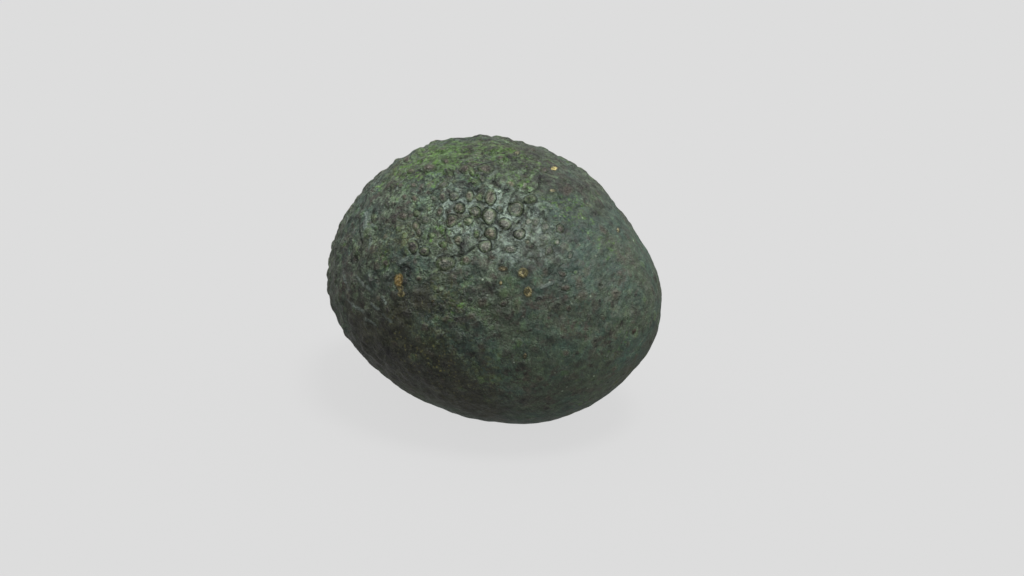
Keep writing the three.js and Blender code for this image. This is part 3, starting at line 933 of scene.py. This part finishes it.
# The rind's colours. Most are the surface's own; the blue grey is painted sheen and highlight, the deepest
# also paints shade, the ripe one is partly painted shade, and the pale ones partly paint highlight and sheen.
GREY_GREEN = linear(78, 90, 72)
TEAL = linear(68, 91, 80)
MOSS = linear(73, 100, 54)
BRIGHT_GREEN = linear(90, 134, 44)
PURPLE_BROWN = linear(78, 69, 62)
OLIVE = linear(82, 85, 45)
RIPE_AND_PAINTED_SHADE = linear(59, 58, 42)
PALE = linear(120, 139, 114)
# painted sheen and highlight: the grey of the light's reflection, laid into the colour
PAINTED_SHEEN_GREY = linear(124, 138, 130)
# the darkest colour: dark marks of the rind, and painted shade in creases, in grooves and round golden spots
DEEP = linear(24, 31, 22)
STROKE = linear(112, 118, 106)
NODULE_EDGE = linear(84, 98, 64)
NODULE_FLECK_AND_HIGHLIGHT = linear(158, 152, 138)
GOLD_DARK = linear(60, 54, 24)
GOLD_LIGHT = linear(194, 178, 134)
SPECK = linear(152, 148, 86)
PALE_SPECK = linear(158, 172, 150)
COLLAR = linear(104, 108, 62)
SCAR = linear(58, 44, 32)
WOOD_BROWN = linear(76, 61, 45)
WOOD_PALE = linear(132, 112, 82)
WOOD_DARK = linear(38, 30, 22)


def zone(g, name, value):
    """A patch of colour that a noise breaks into flecks, closest together in its middle."""
    field = g.attribute(name)
    low = 0.62 - field * 0.28
    return value.step(low, low + 0.12) * field.step(0.02, 0.35)


def drawn_out(g, scale, shift=None):
    """Noise drawn out along the fruit, and round it near its two ends."""
    places = (g.vector("ADD", v, shift) for v in (g.flow, g.rounded)) if shift else (g.flow, g.rounded)
    along, around = (g.noise(scale, 4, 0.7, at) for at in places)
    return along + g.attribute("end") * (around - along)


def ground_coats(g):
    """The rind between its nodules."""
    lively, streaky = g.lively, g.attribute("streaky")
    g.colour = GREY_GREEN
    g.coat(TEAL, g.noise(0.07).step(0.4, 0.62))
    g.coat(TEAL, zone(g, "teal", g.noise(0.5, 5, 0.7, g.warped)) * 0.7)
    g.coat(MOSS, g.noise(0.3, 5, 0.65, g.warped).step(0.5, 0.68) * lively.step(0, 0.8, 0.3, 0.75))
    g.coat(PURPLE_BROWN, g.noise(0.27, 5, 0.65).step(0.5, 0.66) * lively.step(0.1, 0.8, 0.55, 0.75))
    g.coat(PURPLE_BROWN, zone(g, "purple", g.noise(0.45, 5, 0.7)) * 0.85)
    g.coat(PURPLE_BROWN, g.noise(1, 4, 0.7, g.warped).step(0.53, 0.64) * 0.5)
    g.coat(OLIVE, zone(g, "olive", g.noise(0.8, 5, 0.7)) * 0.65)
    g.coat(BRIGHT_GREEN, zone(g, "green", g.noise(0.7, 5, 0.72)) * 0.8)
    # painted sheen: bluish grey patches that stand in for the light's reflection
    painted_sheen = zone(g, "painted_sheen", g.noise(0.6, 5, 0.72, g.warped))
    g.coat(PAINTED_SHEEN_GREY, painted_sheen * g.noise(0.3, 2).step(0.4, 0.6, 0.35, 0.75))
    pale = g.noise(0.6, 6, 0.72, g.warped).step(0.54, 0.7)
    g.coat(PALE, pale * (lively * 0.45 + 0.2) * g.smooth)
    # painted sheen: pale thin lines
    thread = g.noise(0.6, 3, 0.65, g.warped).thin_line(0.045) * g.noise(0.4, 2).step(0.4, 0.56)
    g.coat(PALE, thread * (lively * 0.6 + 0.1))
    # pale strokes: the rind's fibres, and on the left painted sheen
    g.coat(PALE, drawn_out(g, 1.3).step(0.53, 0.7) * (streaky * 0.35 + 0.3))
    g.coat(STROKE, drawn_out(g, 0.9).step(0.5, 0.64) * streaky.step(0.3, 0.9) * 0.5)
    g.coat(DEEP, drawn_out(g, 1.1, (31, 7, 3)).step(0.53, 0.72) * (streaky * 0.25 + 0.35))


def ripe_and_shade_coats(g):
    """The dark patch low on the fruit, partly the ripening rind and partly painted shade underneath, its fine
    yellow specks, and paler dots elsewhere.
    """
    specked = g.attribute("specked")
    ripe_and_painted_shade = (g.attribute("ripe_and_painted_shade") + g.noise(0.14, 5, 0.65).swing(1.2)).step(0.25, 0.9)
    # partly the ripening rind, partly painted shade underneath
    g.coat(RIPE_AND_PAINTED_SHADE, ripe_and_painted_shade * 0.88)
    g.coat(STROKE, ripe_and_painted_shade * drawn_out(g, 1).step(0.5, 0.64) * 0.34)
    chosen = g.voronoi(1.15, "Color").step(0.38, 0.5)
    g.coat(SPECK, g.voronoi(1.15).step(0.38, 0.2) * chosen * (ripe_and_painted_shade * specked * 0.75 + 0.06))
    few = g.voronoi(0.42, "Color").step(0.45, 0.55)
    hidden = ripe_and_painted_shade * specked.step(0, 1, 0.8, 0)
    g.coat(PALE_SPECK, g.voronoi(0.42).step(0.14, 0.06) * few * (1 - hidden) * 0.75)
    return ripe_and_painted_shade


def line_coats(g):
    """Wandering dark lines; the placed creases, painted dark as shade in them; and the placed ridges, painted
    light as a highlight along them.
    """
    wide = g.noise(0.36, 3, 0.6, g.warped).thin_line(0.032) * g.noise(0.3, 2).step(0.4, 0.56)
    slim = g.noise(0.62, 3, 0.6, g.warped).thin_line(0.03) * g.noise(0.45, 2).step(0.46, 0.6)
    line = g.math("MAXIMUM", wide, slim) * (g.lively * 0.85 + 0.15)
    ragged, kept = g.noise(1.4, 3, 0.6).swing(0.9), g.noise(0.8).step(0.3, 0.5)
    crease = (g.attribute("crease") + ragged).step(1, 0.35) * kept
    ridge = (g.attribute("ridge") + ragged).step(1.3, 0.4) * kept
    g.coat(DEEP, line * 0.7)
    # painted shade in the creases
    g.coat(DEEP, crease * 0.72)
    # painted highlight along the ridges
    g.coat(PAINTED_SHEEN_GREY, ridge * 0.65)
    return line, crease, ridge


def nodule_coats(g, near, ring):
    """Nodule tops with pale flecks, partly their own specks and partly painted highlight; the dark ring round
    each, partly its own colour and partly painted shade in its groove; and a painted highlight on the lip
    outside it.
    """
    share = g.attribute("nodule_share")
    g.coat(g.attribute("nodule_tone", "Color"), near.step(0.85, 0.4) * share)
    inside = near.step(1, 0.7)
    # pale flecks on the tops: partly their own specks, partly painted highlight
    flecks_and_highlights = g.noise(1.8, 4, 0.75).step(0.49, 0.57) * inside * ring.step(0.1, 0.7, 0.05, 0.65)
    g.coat(NODULE_FLECK_AND_HIGHLIGHT, flecks_and_highlights * near.step(0.85, 0.5, 0.15, 0.85))
    g.coat(NODULE_EDGE, near.band(0.5, 0.8, 0.85, 1.05) * ring.step(0.1, 0.7, 0, 0.6))
    g.coat(DEEP, g.noise(1.5, 4, 0.75, g.warped).step(0.5, 0.6) * inside * share * 0.28)
    pit = near.step(0.42, 0.16) * g.noise(0.33, 1).step(0.42, 0.56)
    g.coat(DEEP, pit * 0.6)
    uneven = g.noise(0.55, 2).step(0.4, 0.56, 0.2, 1)
    # the dark ring in the groove: partly the rim's own colour, partly painted shade
    groove = near.band(0.84, 0.99, 1.05, 1.22) * ring * uneven
    g.coat(DEEP, groove * 0.9)
    g.coat(DEEP, near.band(0.28, 0.42, 0.46, 0.6) * ring.step(0.2, 0.8) * uneven * 0.42)
    # painted highlight on the lip outside the groove
    lip = near.band(1.1, 1.2, 1.25, 1.45) * ring * g.noise(0.6, 2).step(0.42, 0.58)
    g.coat(PAINTED_SHEEN_GREY, lip * 0.6)
    return pit, groove


def end_coats(g):
    """The yellower collar round the stem button, the dark groove next to the button painted as shade, and the
    blossom's small scar.
    """
    from_stem = g.attribute("from_stem") + g.noise(0.6, 4, 0.65).swing(3)
    g.coat(COLLAR, from_stem.step(8.5, 4.6) * 0.6)
    # painted shade in the groove round the button
    g.coat(DEEP, from_stem.step(5, 4) * 0.85)
    from_blossom = g.attribute("from_blossom") + g.noise(1.4, 3, 0.65).swing(0.8)
    g.coat(PALE, from_blossom.band(0.7, 1, 1.1, 1.5) * 0.5)
    g.coat(SCAR, from_blossom.step(0.9, 0.5) * 0.85)


def shade_coat(g, ripe_and_painted_shade):
    """Fine grain and broad mottles, and the darker and lighter patches: partly the rind's own tone, partly
    painted shade and painted light.
    """
    grain = g.noise(0.55, 3, 0.6).swing(1.1) + g.noise(1.6, 4, 0.7).swing(1.35)
    grain += g.noise(3.6, 2, 0.6).swing(1.3) + drawn_out(g, 2.3).swing(1.2)
    grain *= (1 - g.attribute("soft") * 0.6) * (1 - ripe_and_painted_shade * 0.2)
    broad = g.noise(0.3, 2, 0.6, g.warped).swing(1.7) + g.noise(0.13, 2).swing(0.9)
    broad += g.noise(0.47, 2, 0.5).swing(0.9) * g.lively
    broad *= g.attribute("lumpy") * 0.85 + 1
    shade = (grain + broad) * g.lively.step(0, 1, 0.7, 1.3) + 1
    # darker patches partly painted shade, lighter patches partly painted light
    shade *= (1 - g.attribute("dusky_and_painted_shade") * 0.34) * (g.attribute("fair_and_painted_light") * 0.26 + 0.97)
    g.coat(g.node("ShaderNodeCombineColor", dict.fromkeys(range(3), shade)), 1, "MULTIPLY")


def gold_coats(g):
    """Corky golden spots, which noise frays and mottles, with painted shade round them. Gives their height.
    """
    near = g.attribute("gold") + g.noise(1.5, 3, 0.65).swing(1.1)
    inside = near.step(1.15, 0.75)
    grit = g.noise(1.5, 4, 0.7)
    rind, g.colour = g.colour, g.attribute("gold_tone", "Color")
    g.coat(GOLD_LIGHT, grit.step(0.52, 0.58, 0, 0.6))
    g.coat(GOLD_DARK, grit.step(0.5, 0.43, 0, 0.95))
    g.coat(GOLD_DARK, near.step(0.55, 0.25) * g.noise(0.7, 2).step(0.36, 0.5) * 0.75)
    cork, g.colour = g.colour, rind
    # painted shade round each spot
    g.coat(DEEP, near.step(2.1, 0.9) * 0.6)
    g.coat(cork, inside * 0.92)
    return inside * (grit * 0.3 + 0.05)


def rind_material():
    g = Graph(bpy.data.materials.new("avocado_rind"))
    frayed = g.vector("SUBTRACT", g.noise(0.9, output="Color"), (0.5, 0.5, 0.5))
    places = (g.place, 1.3), (g.attribute("flow", "Vector"), 0.9), (g.attribute("round", "Vector"), 0.6)
    g.warped, g.flow, g.rounded = (g.vector("ADD", at, g.vector("SCALE", frayed, by)) for at, by in places)
    g.lively = g.attribute("lively")
    g.smooth = 1 - g.attribute("soft") * 0.45
    ground_coats(g)
    ripe_and_painted_shade = ripe_and_shade_coats(g)
    line, crease, ridge = line_coats(g)
    ring = g.attribute("nodule_ring")
    rough_edge = g.noise(0.9, 2).swing(0.5) + g.noise(2.6).swing(0.3)
    near = g.attribute("nodule") + rough_edge * ring.step(0.9, 0.1, 0.7, 1.6)
    pit, groove = nodule_coats(g, near, ring)
    end_coats(g)
    shade_coat(g, ripe_and_painted_shade)

    # relief finer than the mesh
    cells = g.voronoi(0.95, feature="SMOOTH_F1", at=g.warped) * -0.4
    height = cells + g.noise(0.34, 2, 0.5, g.warped) * 1.15
    height += g.noise(1.9, 5, 0.65) * 0.42 + drawn_out(g, 1.2) * 0.45
    height *= g.lively.step(0, 1, 0.4, 1.15) * g.smooth
    height += near.step(1.05, 0.1) * (ring * 0.2 + 0.2) * g.lively.step(0, 1, 0.5, 1.1) + ridge * 0.2
    for cut, depth in ((groove, 0.4), (pit, 0.14), (line, 0.3), (crease, 0.3)):
        height -= cut * depth
    height += gold_coats(g)
    rough = g.noise(0.8).step(0.35, 0.65, 0.3, 0.46) + g.lively.step(0.9, 0.2, 0, 0.16)
    rough -= g.attribute("painted_sheen") * 0.07 + g.attribute("soft") * 0.04
    g.shade({"Specular IOR Level": 0.5})
    return g.finish(rough, height)


def button_material():
    """Dry wood: a paler rim, a darker middle, and short cracks that run in from the rim."""
    g = Graph(bpy.data.materials.new("stem_button"))
    g.colour = WOOD_BROWN
    g.coat(WOOD_PALE, g.noise(0.8, 5, 0.65).step(0.35, 0.65))
    across = g.math("SQRT", g.attribute("across"))
    g.coat(WOOD_DARK, across.step(0.75, 0.35, 0, 0.55))
    g.coat(WOOD_PALE, across.step(0.72, 0.9, 0, 0.4))
    cracks = g.noise(1.6, 3, 0.6, g.attribute("rays", "Vector")).thin_line(0.05)
    cracks = g.math("MAXIMUM", cracks, g.voronoi(1.2, feature="DISTANCE_TO_EDGE").step(0.1, 0.02))
    g.coat(WOOD_DARK, cracks * 0.8)
    return g.finish(0.8, g.noise(2.2, 5, 0.7) * 0.35 - cracks * 0.25)


# ---------------------------------------------------------------- the studio

PALE_GREY, WHITE = linear(221, 221, 221), (1, 1, 1)
# What the surroundings shed on the fruit from above, from level with it and from below.
SKY_LIGHT, LEVEL_LIGHT, GROUND_LIGHT = 1.0, 0.2, 0.28
GROUND_EDGE = -0.1  # the height on the unit sphere below which only the ground's light comes
SUN_LIGHT = 2.2
SUN_WIDTH = math.radians(18)
SUN_AZIMUTH, SUN_ELEVATION = 88, 72  # degrees, as the camera's
FLOOR_ALBEDO = 0.05
FLOOR_SIZE = 8.0  # metres
CAMERA_REACH = (0.01, 40)  # metres


def make_world(level):
    """Pale surroundings to look at, which light the fruit more from above than from below."""
    world = bpy.data.worlds.new("studio")
    g = Graph(world, "Background")
    height = g.node("ShaderNodeSeparateXYZ", {0: g.node("ShaderNodeTexCoord", {}, "Generated")}, "Z")
    above = g.node("ShaderNodeMapRange", {"Value": height, "To Min": LEVEL_LIGHT, "To Max": SKY_LIGHT})
    ground = {"From Min": GROUND_EDGE, "From Max": 0, "To Min": GROUND_LIGHT}
    light = g.node("ShaderNodeMapRange", {"Value": height, **ground, "To Max": above})
    looked_at = g.node("ShaderNodeLightPath", {}, "Is Camera Ray")
    seen = g.node("ShaderNodeMix", {0: looked_at, 2: light, 3: level})
    g.shade({"Color": WHITE, "Strength": seen})
    bpy.context.scene.world = world
    bpy.context.scene.view_settings.view_transform = "Standard"


def add_object(name, data, axis, place=(0, 0, 0)):
    """An object whose own Z axis points that way."""
    thing = bpy.data.objects.new(name, data)
    thing.location = place
    thing.rotation_euler = Vector(axis).to_track_quat("Z", "Y").to_euler()
    bpy.context.collection.objects.link(thing)
    return thing


def make_light():
    lamp = bpy.data.lights.new("soft_light", "SUN")
    lamp.energy, lamp.angle = SUN_LIGHT, SUN_WIDTH
    add_object("soft_light", lamp, direction(SUN_AZIMUTH - 90, SUN_ELEVATION))


def make_floor(level):
    """A plain floor whose lit part is as pale as the surroundings, so that no edge shows."""
    # what a level floor gathers of the sky's fading light, and all that it sends back
    sky = LEVEL_LIGHT + (SKY_LIGHT - LEVEL_LIGHT) * 2 / 3
    lit = FLOOR_ALBEDO * (sky + SUN_LIGHT * math.sin(math.radians(SUN_ELEVATION)) / math.pi)
    g = Graph(bpy.data.materials.new("floor"))
    g.shade({"Base Color": (FLOOR_ALBEDO,) * 3, "Roughness": 1, "Specular IOR Level": 0})
    g.shade({"Emission Color": WHITE, "Emission Strength": level - lit})
    bpy.ops.mesh.primitive_circle_add(vertices=96, radius=FLOOR_SIZE, fill_type="NGON")
    floor = bpy.context.object
    floor.name = "floor"
    floor.data.materials.append(g.owner)
    floor.visible_diffuse = False
    floor.visible_glossy = False
    floor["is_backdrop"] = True


def make_camera():
    data = bpy.data.cameras.new("camera")
    data.lens, data.sensor_width = LENS, SENSOR
    data.clip_start, data.clip_end = CAMERA_REACH
    place = (camera_place() - REST_POINT) * MM
    bpy.context.scene.camera = add_object("camera", data, camera_frame()[2], place)


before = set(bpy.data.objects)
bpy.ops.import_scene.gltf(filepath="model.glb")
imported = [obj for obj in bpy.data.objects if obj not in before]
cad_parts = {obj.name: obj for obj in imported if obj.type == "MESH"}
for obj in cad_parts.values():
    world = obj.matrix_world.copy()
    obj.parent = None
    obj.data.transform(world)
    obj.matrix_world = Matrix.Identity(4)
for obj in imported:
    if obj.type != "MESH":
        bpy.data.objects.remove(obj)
cad_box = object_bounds()

make_camera()
make_world(PALE_GREY[0])
make_light()
make_floor(PALE_GREY[0])
for piece in (make_rind(rind_material()), make_button(button_material())):
    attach(piece, "root")
    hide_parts("avocado")

boxes = {"cad": cad_box, "visual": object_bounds()}
{name: [list(corner) for corner in box] for name, box in boxes.items()}
